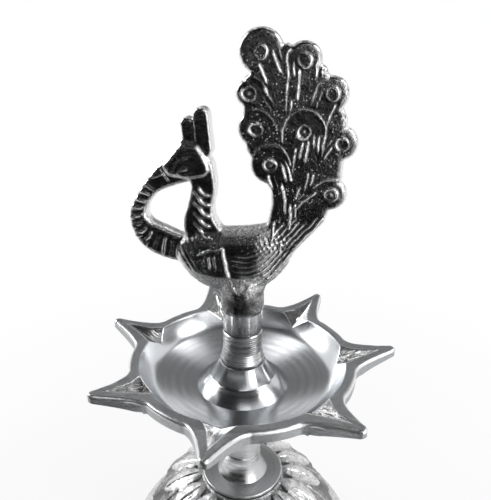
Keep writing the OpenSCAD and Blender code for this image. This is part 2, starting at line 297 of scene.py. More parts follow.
def petal_row(turn, run, offset, start, end):
    """Swell, middle ribs and veins of a row of pointed petals on the bell, each from 0 to 1."""
    pitch = math.tau / petals
    across = ((turn / pitch + offset) % 1 - 0.5) * 2
    along = np.clip((run - start) / (end - start), 0, 1)
    half = np.maximum(np.sin(math.pi * along ** 0.75), 0) ** 0.6 * 0.98 + 0.001
    share = np.abs(across) / half
    inside = (share < 1) & (along > 0) & (along < 1)
    swell = np.sqrt(np.maximum(1 - share ** 2, 0)) * (0.55 + 0.45 * along)
    rib = np.exp(-(across / 0.1) ** 2) * ease(0, 0.2, along) * (1 - ease(0.8, 1, along))
    veins = 0.5 + 0.5 * np.cos(across * 9 * math.pi / (0.4 + half))
    return np.where(inside, swell, 0), np.where(inside, rib, 0), np.where(inside, veins, 0)


fx, fy, fz = places(foot_mesh)
foot_turn = np.arctan2(fy, fx)
from_axis = np.hypot(fx, fy)
bell_angle = np.arctan2(fz, from_axis - bell_x)
outer = np.hypot(from_axis - bell_x, fz) > bell_arc - 0.5
on_bell = outer & (fz > lip_h + lip_w + 0.1) & (from_axis > seat_r - 0.1)
bell_run = (math.radians(rise_at(bell_arc, foot_h)) - bell_angle) * bell_arc
upper = petal_row(foot_turn, bell_run, 0, *upper_petals)
lower = petal_row(foot_turn, bell_run, 0.5, *lower_petals)
on_upper = upper[0] > 0.02
petal_swell = np.where(on_upper, 0.55 + 0.45 * upper[0], 0.65 * lower[0])
petal_rib, petal_vein = (np.where(on_upper, upper[i], lower[i]) for i in (1, 2))
rough_cast = lumps(fx, fy, fz, 2.2)
raised = petal_h * (petal_swell - 0.75) + 0.35 * petal_rib + 0.18 * petal_vein + 0.22 * rough_cast
raised = np.where(on_bell, raised * ease(0, 2, bell_run), 0)
outwards = raised * np.cos(bell_angle)
move(foot_mesh, fx + outwards * np.cos(foot_turn), fy + outwards * np.sin(foot_turn),
     fz + raised * np.sin(bell_angle))
mark(foot_mesh, "proud", np.where(on_bell, np.clip(0.45 + 0.4 * raised, 0, 1), 0.55))
piece(foot_mesh, "foot", cast_aluminium(), "cast_aluminium", "foot", crease=50)


# Foot stud, nut and nut washer: zinc plated steel. The stud stands up out of the foot, clamped
# there from below by the nut on its washer, and carries the stem on ten turns of its thread.
def zinc_steel():
    """Zinc plate: bluish grey, faintly mottled, a little dull."""
    made, tree, surface, where = material("zinc_plated_steel")
    look = skin(tree, where, 700)
    colour = blended(tree, look["Stain"], (0.42, 0.44, 0.48, 1), grey(0.62))
    rough = ranged(tree, look["Grain"], 0.3, 0.7, 0.25, 0.42)
    glossed(tree, surface, colour, rough, bumped(tree, look["Grain"], 0.02))
    return made


steel = zinc_steel()
thread_pitch = 1.25
thread_depth = 0.65
thread_in = 1.1
chamfer = 0.6
core_r = stud_r - thread_depth


def threaded_stud(name, body, node):
    """Core with chamfered ends and one thread ridge that winds up it."""
    low, high = levels(node)
    core = [(0, low), (core_r - chamfer, low), (core_r, low + chamfer), (core_r, high - chamfer),
            (core_r - chamfer, high), (0, high)]
    bm = turned(core, 32, closed=False)
    ridge = [(core_r - 0.2, -0.5), (stud_r - 0.02, -0.08), (stud_r - 0.02, 0.08), (core_r - 0.2, 0.5)]
    turns = (high - low - 2 * thread_in) / thread_pitch
    steps = int(turns * 24)
    verts = [bm.verts.new((r, 0, low + thread_in + z)) for r, z in ridge]
    edges = [bm.edges.new(pair) for pair in zip(verts, verts[1:] + verts[:1])]
    end_cap = bm.faces.new(verts)
    bmesh.ops.spin(bm, geom=verts + edges + [end_cap], cent=(0, 0, 0), axis=(0, 0, 1),
                   dvec=(0, 0, turns * thread_pitch / steps), angle=math.tau * turns, steps=steps)
    bmesh.ops.recalc_face_normals(bm, faces=bm.faces[:])
    piece(drafted(bm, name), body, steel, "zinc_plated_steel", node)


threaded_stud("foot_thread", "foot", "foot_stud")

nut_low, nut_high = levels("foot_nut")
nut_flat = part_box("foot_nut")[1].y / mm
nut_bore = core_r + 0.1
nut_slant = 0.6
nut = bmesh.new()
rings = []
for r, z in ((nut_bore, nut_low), (nut_flat, nut_low), (nut_flat, nut_high), (nut_bore, nut_high)):
    made = bmesh.ops.create_circle(nut, segments=72, radius=r, matrix=Matrix.Translation((0, 0, z)))
    rings.append(made["verts"])
for side, ring in ((1, rings[1]), (-1, rings[2])):
    for v in ring:
        turn = math.atan2(v.co.y, v.co.x)
        reach = nut_flat / math.cos(turn % (math.pi / 3) - math.pi / 6)
        v.co.x, v.co.y = reach * math.cos(turn), reach * math.sin(turn)
        v.co.z += side * (reach - nut_flat) * nut_slant
for one, two in zip(rings, rings[1:] + rings[:1]):
    loop = [e for ring in (one, two) for e in {e for v in ring for e in v.link_edges}
            if e.verts[0] in ring and e.verts[1] in ring]
    bmesh.ops.bridge_loops(nut, edges=loop)
bmesh.ops.recalc_face_normals(nut, faces=nut.faces[:])
piece(drafted(nut, "foot_hex_nut"), "foot", steel, "zinc_plated_steel", "foot_nut")


def finish_node(node, finish):
    """Gives a node that keeps its own shape its material."""
    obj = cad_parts[node]
    obj.data.materials.clear()
    obj.data.materials.append(finish)


finish_node("foot_nut_washer", steel)


# Thin washers and the bowl's gasket: stamped from black vulcanised fibre. They lie loose between
# the turned faces, held back a little from the edge, and show as the dark line at each joint.
def black_fibre():
    """Pressed fibre: near black, dull, with short flecks."""
    made, tree, surface, where = material("black_fibre")
    fleck = add(tree, "ShaderNodeTexNoise", Vector=where, Scale=2500.0, Detail=3.0).outputs[0]
    colour = blended(tree, fleck, grey(0.012), grey(0.05))
    rough = ranged(tree, fleck, 0.3, 0.7, 0.6, 0.8)
    glossed(tree, surface, colour, rough, bumped(tree, fleck, 0.03), metallic=0)
    return made


fibre = black_fibre()
for thin in ("stem_washer", "bowl_gasket", "column_washer", "finial_washer"):
    finish_node(thin, fibre)


# Stem: aluminium bar, turned to a post with a flared flange and two scribed lines.
# It screws down on the foot's stud, and its own stud in the top end holds the bowl.
def turning_lines():
    """Tool marks of a lathe: lines of uneven depth that repeat along a run."""
    tree, given, result = group("turning_lines", ["Run", "Pitch"], ["Lines", "Streak"])
    steps = sum_of(tree, "DIVIDE", given["Run"], given["Pitch"])
    lines = add(tree, "ShaderNodeTexNoise", {"noise_dimensions": "1D"}, W=steps, Scale=1.0, Detail=2.0)
    streak = add(tree, "ShaderNodeTexNoise", {"noise_dimensions": "1D"}, W=times(tree, steps, 0.17),
                 Scale=1.0, Detail=1.0)
    tree.links.new(lines.outputs[0], result["Lines"])
    tree.links.new(streak.outputs[0], result["Streak"])
    return tree


def lathe(tree, run, pitch):
    """Places the turning lines in a material."""
    made = bpy.data.node_groups.get("turning_lines") or turning_lines()
    return add(tree, "ShaderNodeGroup", {"node_tree": made}, Run=run, Pitch=pitch * mm).outputs


def turned_aluminium():
    """Turned bar: fine lines round the post and a few dull patches."""
    made, tree, surface, where = material("turned_aluminium")
    marks = lathe(tree, add(tree, "ShaderNodeSeparateXYZ", Vector=where).outputs["Z"], 0.28)
    look = skin(tree, where, 350)
    colour = blended(tree, marks["Lines"], grey(0.5, 0.01), grey(0.74, 0.01))
    colour = blended(tree, times(tree, look["Stain"], 0.25), colour, grey(0.4))
    rough = ranged(tree, marks["Streak"], 0.3, 0.7, 0.2, 0.34)
    glossed(tree, surface, colour, rough, bumped(tree, marks["Lines"], 0.012))
    return made


turned_metal = turned_aluminium()
stem_low, stem_high = levels("stem")
washer_back = 0.3
post_r = radius("bowl_gasket") + washer_back
flange_t = 1.8
flange_edge = 0.5
flare_r = 10.4
flare_h = 9
line_z = 12
line_gap = 8.8
line_depth = 0.4
low_bore = stem_low + 14
high_bore = stem_high - 10


def scribed(r, level, depth):
    """V-shaped line turned into a post."""
    return [(r, level - depth), (r - depth * 0.8, level - depth * 0.15),
            (r - depth * 0.8, level + depth * 0.15), (r, level + depth)]


stem_section = [(0, low_bore), (hole_r, low_bore), (hole_r, stem_low), (seat_r - 0.4, stem_low)]
flange_top = stem_low + flange_t
stem_section += arc((seat_r - flange_edge, flange_top - 0.7), flange_edge, 0, 90, 4)
stem_section += [(flare_r + 1.5, flange_top)]
for step in np.linspace(0, 1, 15):
    stem_section.append((post_r + (flare_r - post_r) * (1 - step) ** 2, flange_top + flare_h * step))
stem_section += scribed(post_r, stem_low + line_z, line_depth)
stem_section += scribed(post_r, stem_low + line_z + line_gap, line_depth)
stem_section += [(post_r, stem_high - 0.5), (post_r - 0.15, stem_high - 0.15), (post_r - 0.5, stem_high)]
stem_section += [(hole_r, stem_high), (hole_r, high_bore), (0, high_bore)]
piece(drafted(turned(stem_section, 160, closed=False), "turned_stem"), "stem", turned_metal,
      "turned_aluminium", "stem")
threaded_stud("stem_thread", "stem", "stem_stud")


# Bowl: one aluminium casting, a dish with seven pointed spouts. The inside is turned and buffed,
# the flat rim is left as ground, and each wick notch is filed. A tapped boss takes both studs.
bowl_low = levels("bowl")[0]
boss_drop = 0.9
rim_z = levels("column_washer")[0] + boss_drop
rim_r = 40
rim_out = 44
rim_t = 5
dish_depth = 13.8
dish_wall = 3.5
wall_h = 6.5
floor_r = 36.5
floor_depth = dish_depth - wall_h
ball_r = (floor_r ** 2 + floor_depth ** 2) / (2 * floor_depth)
ball_z = ball_r - dish_depth
wall_slope = wall_h / (rim_r - floor_r)
wall_fillet = 5
spouts = 7
spout_turn = math.radians(10)
spout_len = 16
spout_half = 10
spout_hollow = 1.6
tip_r = 2
tip_rise = 2.9
tip_t = 3.6
root_t = 6
notch_depth = 3.5
notch_climb = 0.38
notch_slope = 0.6
edge_r = 1.3
hub_r = 11
shoulder_r = 17.9
shoulder_top = -7.5
shoulder_crown = 0.18
boss_r = radius("column_washer") + washer_back
flare_top = 6
flare_bend = (boss_r - post_r) / (flare_top + boss_drop) ** 2


def dish_level(r, grow):
    """Level of the dish below its rim at a radius or, grown by its thickness, of its underside."""
    floor = ball_z - np.sqrt((ball_r + grow) ** 2 - r ** 2)
    wall = (r - rim_r - grow * math.hypot(1, 1 / wall_slope)) * wall_slope
    k = np.clip(0.5 + 0.5 * (wall - floor) / wall_fillet, 0, 1)
    return floor + (wall - floor) * k + wall_fillet * k * (1 - k)


def waist(level):
    """Radius of the flare that runs down the column and the boss, at a level from the rim."""
    return post_r + flare_bend * max(flare_top - level, 0) ** 2


bowl_section = [(hole_r, -boss_drop), (boss_r - 0.3, -boss_drop)]
bowl_section += [(waist(z), z) for z in np.linspace(-boss_drop - 0.2, shoulder_top, 16)]
shoulder_low = float(dish_level(shoulder_r, 0))
for step in np.linspace(0, 1, 15)[1:]:
    crown = shoulder_crown * math.sin(math.pi * step)
    bowl_section.append((waist(shoulder_top) + (shoulder_r - waist(shoulder_top)) * step + crown,
                         shoulder_top + (shoulder_low - shoulder_top) * step + crown))
for r in np.concatenate([np.linspace(shoulder_r + 0.5, 33.6, 20), np.linspace(34, rim_r - 0.3, 24)]):
    bowl_section.append((r, float(dish_level(r, 0))))
first_rim = rim_r + 0.35
bowl_section += [(rim_r - 0.12, -0.32), (rim_r + 0.05, -0.1)]
bowl_section += [(rim_out - (rim_out - first_rim) * (1 - t) ** 1.4, 0) for t in np.linspace(0, 1, 42)]
bowl_section += [(rim_out, z) for z in np.linspace(-edge_r, -rim_t, 7)]
bowl_section += [(r, -rim_t) for r in np.linspace(rim_out, rim_r + 0.4, 14)[1:]]
for r in np.concatenate([np.linspace(rim_r, 31, 12), np.linspace(29, 11.4, 9)]):
    bowl_section.append((r, min(float(dish_level(r, dish_wall)), -rim_t - 0.02)))
bowl_bottom = bowl_low - rim_z
bowl_section += [(hub_r, bowl_bottom + 0.6), (hub_r, bowl_bottom + 0.3), (hub_r - 0.3, bowl_bottom),
                 (hole_r, bowl_bottom)]
bowl_mesh = drafted(turned(bowl_section, spouts * 80), "cast_bowl")

# Plan of the spouts: straight sides drawn in a little, a round tip, and a fillet at the rim.
# The rays from the axis stand closer together towards the tips.
bx, by, bz = places(bowl_mesh)
plan_r = np.hypot(bx, by)
half_spout = math.pi / spouts
from_tip = (np.arctan2(by, bx) - spout_turn + half_spout) % (2 * half_spout) - half_spout
even = np.abs(from_tip) / half_spout
off_spout = half_spout * even * (0.3 + 0.7 * even)
plan_turn = np.arctan2(by, bx) + np.sign(from_tip) * (off_spout - np.abs(from_tip))
tip_x = rim_out + spout_len - tip_r
side_a = (math.sqrt(rim_out ** 2 - spout_half ** 2), spout_half)
side_b = (tip_x + tip_r * 0.5, tip_r * math.sqrt(0.75))


def spout_reach(turn):
    """How far the rim reaches from the axis, at an angle from a spout's middle."""
    ray_x, ray_y = np.cos(turn), np.sin(turn)
    side_x, side_y = side_b[0] - side_a[0], side_b[1] - side_a[1]
    reach = (side_a[0] * side_y - side_a[1] * side_x) / (ray_x * side_y - ray_y * side_x)
    share = np.clip((reach * ray_x - side_a[0]) / side_x, 0, 1)
    reach = reach - spout_hollow * np.sin(math.pi * share)
    round_end = tip_x * ray_x + np.sqrt(np.maximum(tip_r ** 2 - (tip_x * ray_y) ** 2, 0))
    reach = np.where(tip_x * ray_y < side_b[1], np.minimum(reach, round_end), reach)
    reach = np.where(turn > math.atan2(side_a[1], side_a[0]) + 0.02, 0, reach)
    fillet = 1.8
    k = np.clip(0.5 + 0.5 * (reach - rim_out) / fillet, 0, 1)
    return np.maximum(rim_out + (reach - rim_out) * k + fillet * k * (1 - k), rim_out)


# Each ring of the rim is drawn out to that plan, raised and thinned to the tips, with round edges.
outline = spout_reach(off_spout)
tilt = (spout_reach(off_spout + 0.004) - spout_reach(np.maximum(off_spout - 0.004, 0))) / 0.008 / outline
on_rim = plan_r > rim_r + 0.2
stretch = np.clip((plan_r - first_rim) / (rim_out - first_rim), 0, 1)
new_r = np.where(on_rim, first_rim + stretch * (outline - first_rim), plan_r)
past = np.clip((new_r - rim_out) / spout_len, 0, 1)
top_level = tip_rise * past
spout_share = ease(0.3, 5, outline - rim_out)
under_level = (1 - spout_share) * -rim_t + spout_share * (-root_t + past * (root_t - tip_t + tip_rise))
depth = np.clip(-bz / rim_t, 0, 1)
to_edge = np.clip((outline - new_r) / np.hypot(1, tilt), 0, edge_r)
round_off = edge_r - np.sqrt(edge_r ** 2 - (edge_r - to_edge) ** 2)
on_top = on_rim & (depth < 0.02)
new_z = np.where(on_rim, top_level + (under_level - top_level) * depth, bz)
new_z = np.where(on_top, new_z - round_off, new_z)
new_z = np.where(on_rim & (depth > 0.98), new_z + 0.6 * round_off, new_z)
across = new_r * np.sin(off_spout)
outwards = new_r * np.cos(off_spout)
gusset = -root_t - (rim_out - outwards) * 0.33 + 12 * ease(spout_half - 2, spout_half + 3, across)
in_dish = (plan_r < rim_r + 0.2) & (bz > dish_level(np.minimum(plan_r, rim_r), 0) - 1)
below = (bz < -rim_t + 0.3) & ~in_dish
new_z = np.where(below & (new_r < rim_out) & (new_r > 30), np.minimum(new_z, gusset), new_z)

# A filed notch: two rough faces that meet in a valley, which climbs from the dish to the spout.
can_file = on_top | in_dish & (plan_r > 32)
strokes = lumps(bx * 1.5, by * 1.5, bz, 1.0)
valley = notch_climb * (outwards - rim_r) - notch_depth + notch_slope * across + 0.06 * strokes
cut = np.clip(0.5 + 0.5 * (new_z - valley) / 0.2, 0, 1)
filed = new_z + (valley - new_z) * cut - 0.2 * cut * (1 - cut)
new_z = np.where(can_file, filed, new_z)
in_notch = np.where(can_file, cut, 0)
casting = lumps(bx, by, bz, 3) * 0.1 + lumps(bx, by, bz, 1.2) * 0.05
new_z = new_z + casting * np.where(on_rim | below, 1 - in_notch, 0)
new_r = np.where((depth > 0.1) & on_rim, new_r + casting - 0.1, new_r)
move(bowl_mesh, new_r * np.cos(plan_turn), new_r * np.sin(plan_turn), new_z + rim_z)
mark(bowl_mesh, "rim", np.where((plan_r > rim_r - 0.2) | below, 1.0, 0.0))
mark(bowl_mesh, "notch", in_notch)
# Edges of the rim's top, painted bright: wear and a painted highlight both.
mark(bowl_mesh, "edge", np.where(on_top, 1 - ease(0.3, 0.9, to_edge), 0))


def length_of(tree, vector):
    """Length of a vector."""
    return add(tree, "ShaderNodeVectorMath", {"operation": "LENGTH"}, Vector=vector).outputs["Value"]


def bowl_aluminium():
    """Buffed dish with faint turning lines, a duller rim with worn edges that also carry a painted highlight,
    and coarse filed notches.
    """
    made, tree, surface, where = material("bowl_aluminium")
    split = add(tree, "ShaderNodeSeparateXYZ", Vector=where).outputs
    flat = add(tree, "ShaderNodeCombineXYZ", X=split["X"], Y=split["Y"]).outputs[0]
    marks = lathe(tree, length_of(tree, flat), 0.3)
    look = skin(tree, where, 1100)
    broad = skin(tree, where, 240)
    rim, notch, edge = (stored(tree, key) for key in ("rim", "notch", "edge"))
    dish = blended(tree, marks["Lines"], grey(0.66, 0.03), grey(0.72, 0.03))
    dish = blended(tree, times(tree, broad["Stain"], 0.3), dish, grey(0.55, 0.03))
    dish = blended(tree, ranged(tree, look["Pits"], 0.9, 0.97), dish, grey(0.95))
    cast = blended(tree, look["Grain"], grey(0.28, 0.03), grey(0.58, 0.03))
    # Painted highlight, with wear: the rim's top edges are painted bright.
    cast = blended(tree, edge, cast, grey(0.85))
    filed = blended(tree, ranged(tree, look["Grain"], 0.4, 0.6), grey(0.7), grey(0.98))
    colour = blended(tree, notch, blended(tree, rim, dish, cast), filed)
    rough = blended(tree, rim, ranged(tree, marks["Streak"], 0.3, 0.7, 0.2, 0.25), grey(0.32))
    rough = blended(tree, notch, rough, grey(0.09))
    height = blended(tree, rim, times(tree, marks["Lines"], 0.006),
                     times(tree, ranged(tree, look["Grain"], 0.36, 0.64), 0.6))
    height = blended(tree, notch, height, times(tree, look["Grain"], 0.07))
    sockets = glossed(tree, surface, colour, rough, bumped(tree, height, 0.08, 0.7))
    outwards = add(tree, "ShaderNodeVectorTransform", {"convert_from": "OBJECT", "convert_to": "WORLD"},
                   Vector=flat)
    tree.links.new(outwards.outputs[0], sockets["Tangent"])
    tree.links.new(blended(tree, rim, grey(0.55), grey(0)), sockets["Anisotropic"])
    return made


piece(bowl_mesh, "bowl", bowl_aluminium(), "polished_aluminium", "bowl", crease=40)


# Column: a short turned spacer with fine lines and a flared foot, tapped right through. It screws
# down on the boss with its own stud, and the peacock screws down on it.
column_low, column_high = levels("column")
fine_pitch = 0.86
fine_depth = 0.08
line_count = int((column_high - column_low) / fine_pitch) - 1
first_line = (column_low + column_high - (line_count - 1) * fine_pitch) / 2
column_foot = column_low + 0.2
column_section = [(hole_r, column_low), (boss_r - 0.3, column_low), (waist(column_foot - rim_z), column_foot)]
for i in range(line_count):
    level = first_line + i * fine_pitch
    column_section += scribed(waist(level - rim_z), level, fine_depth)
column_section += [(post_r, column_high - 0.3), (post_r - 0.3, column_high), (hole_r, column_high)]
piece(drafted(turned(column_section, 160), "turned_column"), "column", turned_metal,
      "turned_aluminium", "column")
threaded_stud("column_thread", "column", "column_stud")


# Peacock: a flat aluminium casting with feathers in relief on both sides, on a round stub with a
# stud in its tapped hole. The hollows are painted dark as shade, and the buffed ridges and edges painted
# bright as highlights.
# It is drawn side on, in mm: places are (x, height above its joint, half width or radius).
peacock_low = levels("peacock")[0]
neck = [(-9, 31, 7), (-14.5, 40.5, 6.2), (-14.6, 47.5, 4.6), (-13.2, 55.5, 4.4), (-14.5, 62, 5)]
beak = [(-19, 62.5, 5.5), (-25.5, 59.5, 4.6), (-31, 55.5, 3.2), (-35, 50.5, 2.7), (-37.3, 44.5, 3.2),
        (-35.3, 38.8, 4.4), (-30.5, 35, 5.6), (-22, 32, 5.2), (-14, 30, 5)]
body = [(-17, 31, 7.5), (-8, 28.5, 12), (4, 30, 11.5), (14, 38, 6)]
head_edge = [(-26.5, 62.5), (-20, 70), (-15.2, 69.4), (-13.2, 66.8), (-11.8, 63.6), (-11.3, 61.4),
             (-12.8, 59.8), (-18, 58.9), (-25, 60)]
head_round = 1.3
left_tuft = [(-18.3, 76.6, 2.3), (-17.7, 70, 2.2)]
right_tuft = [(-13.5, 79.5, 2.7), (-12.7, 68.5, 2.9)]
lobes = [(9.3, 63.8, 6.6), (4.5, 75.5, 6), (2.2, 86.7, 4.4), (6, 99.3, 7.2), (19.5, 97, 5.6),
         (28.5, 87, 5.5), (32.3, 71.5, 5.6), (29.8, 54.5, 5.6)]
tail_edge = [(28.5, 44.5), (9.5, 22), (2, 30), (8, 38), (10, 50), (9.8, 54.7), (1.3, 68.5), (0.1, 79),
             (0.7, 91.5), (14, 102), (26.4, 95), (34, 79.5), (33.4, 60)]
stub_r = 8
stub_h = 17
stub_bore = 11.5
band_h = 8.5


def drawn_curve(points, steps=6):
    """Smooth curve through the points of a limb, with its half widths."""
    pts = np.array(points, float)
    last = len(pts) - 1
    out = []
    for i in range(last):
        a, b, c, d = pts[max(i - 1, 0)], pts[i], pts[i + 1], pts[min(i + 2, last)]
        for t in np.arange(steps) / steps:
            out.append((2 * b + (c - a) * t + (2 * a - 5 * b + 4 * c - d) * t ** 2
                        + (3 * b - a - 3 * c + d) * t ** 3) / 2)
    return np.array(out + [pts[last]])


def along(path, x, v):
    """How far points lie outside a limb's edge, how far along it and across it, and its half width."""
    away = np.full(x.shape, 1e9)
    run, across, half = np.zeros_like(x), np.zeros_like(x), np.ones_like(x)
    done = 0.0
    for a, b in zip(path[:-1], path[1:]):
        d = b[:2] - a[:2]
        length = math.hypot(*d)
        k = np.clip(((x - a[0]) * d[0] + (v - a[1]) * d[1]) / length ** 2, 0, 1)
        dx, dv = x - a[0] - k * d[0], v - a[1] - k * d[1]
        r = a[2] + k * (b[2] - a[2])
        out = np.hypot(dx, dv) - r
        near = out < away
        away, run = np.where(near, out, away), np.where(near, done + k * length, run)
        across = np.where(near, (d[0] * dv - d[1] * dx) / length / r, across)
        half = np.where(near, r, half)
        done += length
    return away, run, across, half


def outside(corners, x, v):
    """How far points lie outside a polygon, negative inside it."""
    square = np.full(x.shape, 1e9)
    inner = np.zeros(x.shape, bool)
    for (ax, av), (cx, cv) in zip(corners, corners[1:] + corners[:1]):
        ex, ev = cx - ax, cv - av
        k = np.clip(((x - ax) * ex + (v - av) * ev) / (ex * ex + ev * ev), 0, 1)
        square = np.minimum(square, (x - ax - k * ex) ** 2 + (v - av - k * ev) ** 2)
        crosses = (av > v) != (cv > v)
        inner ^= crosses & (x < ax + (v - av) / (ev if ev else 1e-9) * ex)
    return np.where(inner, -1, 1) * np.sqrt(square)


def merged(a, b, blend):
    """Smaller of two distances, with a fillet where they meet."""
    k = np.clip(0.5 + 0.5 * (b - a) / blend, 0, 1)
    return b + (a - b) * k - blend * k * (1 - k)


def plate(away, half, wall, edge, bow=2):
    """Half thickness of a plate: side wall, then an edge that is round, or straight for a bow of 1."""
    rise = (1 - (1 - np.clip(-away / edge, 0, 1)) ** bow) ** (1 / bow)
    return np.where(away < 0.2, wall + (half - wall) * rise, -9)


neck_path, beak_path, body_path = (drawn_curve(limb) for limb in (neck, beak, body))
tuft_paths = [drawn_curve(tuft, 3) for tuft in (left_tuft, right_tuft)]
stub_path = np.array([(0, 0, stub_r - 0.1), (0, stub_h, stub_r - 0.1), (0, 27, 3)])


def figure_parts(x, v):
    """Distances outside tail, body, neck, beak, head and the two tufts of the crest."""
    tail = outside(tail_edge, x, v)
    for lobe_x, lobe_v, r in lobes:
        tail = merged(tail, np.hypot(x - lobe_x, v - lobe_v) - r, 0.5)
    limbs = [along(path, x, v)[0] for path in (body_path, neck_path, beak_path)]
    tufts = [along(path, x, v)[0] for path in tuft_paths]
    return [tail] + limbs + [outside(head_edge, x, v) - head_round] + tufts


def figure_height(x, v):
    """Half thickness of the casting at a place, and how far the place is outside its outline."""
    trunk = 6 - 3.2 * ease(4, 15, x)
    sizes = ((2.5, 0.8, 1.9), (trunk, 0.3, 6), (3.5, 2.2, 1.5), (3.2, 1.4, 1.8), (4.3, 2.5, 1.8, 1.2),
             (2.8, 1.9, 0.9), (3.2, 2.2, 0.9))
    away, height = np.full(x.shape, 99.0), np.full(x.shape, -9.0)
    for out, size in zip(figure_parts(x, v), sizes):
        height = -merged(-height, -plate(out, *size), 0.3)
        away = merged(away, out, 0.8)
    out, half = along(stub_path, x, v)[::3]
    round_post = np.sqrt(np.maximum(half ** 2 - np.minimum(out + half, half) ** 2, 0))
    height = -merged(-height, -np.where(out < 0.2, round_post, -9), 3)
    return np.maximum(height, 0.1), merged(away, out, 4)


# One side is a sheet pulled out to that height. Its border is drawn across to its mirror image.
cell = 0.4
left, right, low_v, high_v = -42, 40, 12, 109
figure = bmesh.new()
upright = Matrix.Translation(((left + right) / 2, 0, (low_v + high_v) / 2)) \
    @ Matrix.Rotation(math.pi / 2, 4, "X") @ Matrix.Diagonal((right - left, high_v - low_v, 1, 1))
bmesh.ops.create_grid(figure, x_segments=int((right - left) / cell), y_segments=int((high_v - low_v) / cell),
                      size=0.5, matrix=upright)
sheet = list(figure.verts)
gx = np.array([p.co.x for p in sheet])
gv = np.array([p.co.z for p in sheet])
far = figure_height(gx, gv)[1]
slope_x = (figure_height(gx + 0.05, gv)[1] - far) / 0.05
slope_v = (figure_height(gx, gv + 0.05)[1] - far) / 0.05
steep = np.maximum(slope_x ** 2 + slope_v ** 2, 0.2)
border = (far > -0.3 * cell) & (far < 0.9 * cell)
gx = np.where(border, gx - far * slope_x / steep, gx)
gv = np.where(border, np.maximum(gv - far * slope_v / steep, low_v), gv)
for p, x, v, t in zip(sheet, gx, gv, figure_height(gx, gv)[0]):
    p.co = (x, -t, v)
bmesh.ops.delete(figure, geom=[p for p, f, b in zip(sheet, far, border) if f > 0 and not b], context="VERTS")
front = figure.verts[:] + figure.edges[:] + figure.faces[:]
walls = bmesh.ops.extrude_edge_only(figure, edges=[e for e in figure.edges if e.is_boundary])["geom"]
back = bmesh.ops.duplicate(figure, geom=front)["geom"]
far_side = [g for g in walls + back if isinstance(g, bmesh.types.BMVert)]
bmesh.ops.scale(figure, vec=(1, -1, 1), verts=far_side)
bmesh.ops.remove_doubles(figure, verts=figure.verts[:], dist=0.01)
bmesh.ops.recalc_face_normals(figure, faces=figure.faces[:])
stub_section = [(0, stub_bore), (hole_r, stub_bore), (hole_r, 0), (post_r - 0.2, 0), (post_r, 0.3),
                (post_r, band_h), (stub_r, band_h + 0.8), (stub_r, stub_h), (6, 22), (2.5, 28), (0, 28)]
stub = drafted(turned(stub_section, 96, closed=False), "stub")
figure.from_mesh(stub)
bpy.data.meshes.remove(stub)


def remade(mesh, kind, **settings):
    """New mesh that a modifier makes of a mesh, which is then removed."""
    draft = bpy.data.objects.new("figure_draft", mesh)
    bpy.context.scene.collection.objects.link(draft)
    modifier = draft.modifiers.new("remade", kind)
    for key, value in settings.items():
        setattr(modifier, key, value)
    made = bpy.data.meshes.new_from_object(draft.evaluated_get(bpy.context.evaluated_depsgraph_get()))
    bpy.data.objects.remove(draft)
    bpy.data.meshes.remove(mesh)
    return made


# Sheet and stub are run together into one skin, and smoothed as a casting is.
skinned = remade(drafted(figure, "figure_draft"), "REMESH", mode="VOXEL", voxel_size=0.29)
smooth = bmesh.new()
smooth.from_mesh(skinned)
bpy.data.meshes.remove(skinned)
above_joint = [p for p in smooth.verts if p.co.z > 0.6]
for turn in range(3):
    bmesh.ops.smooth_vert(smooth, verts=above_joint, factor=0.5, use_axis_x=True, use_axis_y=True,
                          use_axis_z=True)
bmesh.ops.recalc_face_normals(smooth, faces=smooth.faces[:])
smooth.normal_update()
facing = np.array([tuple(p.normal) for p in smooth.verts]).T
figure_mesh = drafted(smooth, "peacock_casting")
px, py, pv = places(figure_mesh)
tail_away, body_away, neck_away, beak_away = figure_parts(px, pv)[:4]


# Relief: every part of the figure has its own ornament, as heights in mm on its two broad sides.
# It is chased by hand, so its lines waver.
waver_x = 0.4 * lumps(px, pv, py * 0.2, 5) + 0.15 * lumps(px, pv, py * 0.2, 1.7)
waver_v = 0.4 * lumps(pv, px, py * 0.2, 4.6) + 0.15 * lumps(pv, px, py * 0.2, 1.9)
cx, cv = px + waver_x, pv + waver_v


def wave(run, pitch, sharp):
    """Ridges with their tops at whole pitches."""
    return (0.5 + 0.5 * np.cos(math.tau * run / pitch)) ** sharp


def chance(*keys):
    """Steady pseudo-random number from 0 to 1 for whole-number keys."""
    total = sum(np.asarray(k, float) * c for k, c in zip(keys, (12.9898, 78.233, 37.719)))
    return np.mod(np.sin(total) * 43758.5453, 1)


def ridge(points, width, height):
    """One raised line along a curve, fading at its ends."""
    path = drawn_curve([(a, b, 0.001) for a, b in points], 8)
    away, run = along(path, cx, cv)[:2]
    length = np.hypot(*np.diff(path[:, :2], axis=0).T).sum()
    fade = 0.4 + 0.6 * ease(0, 0.15, np.minimum(run, length - run) / length)
    return height * fade * np.exp(-(away / width) ** 2)


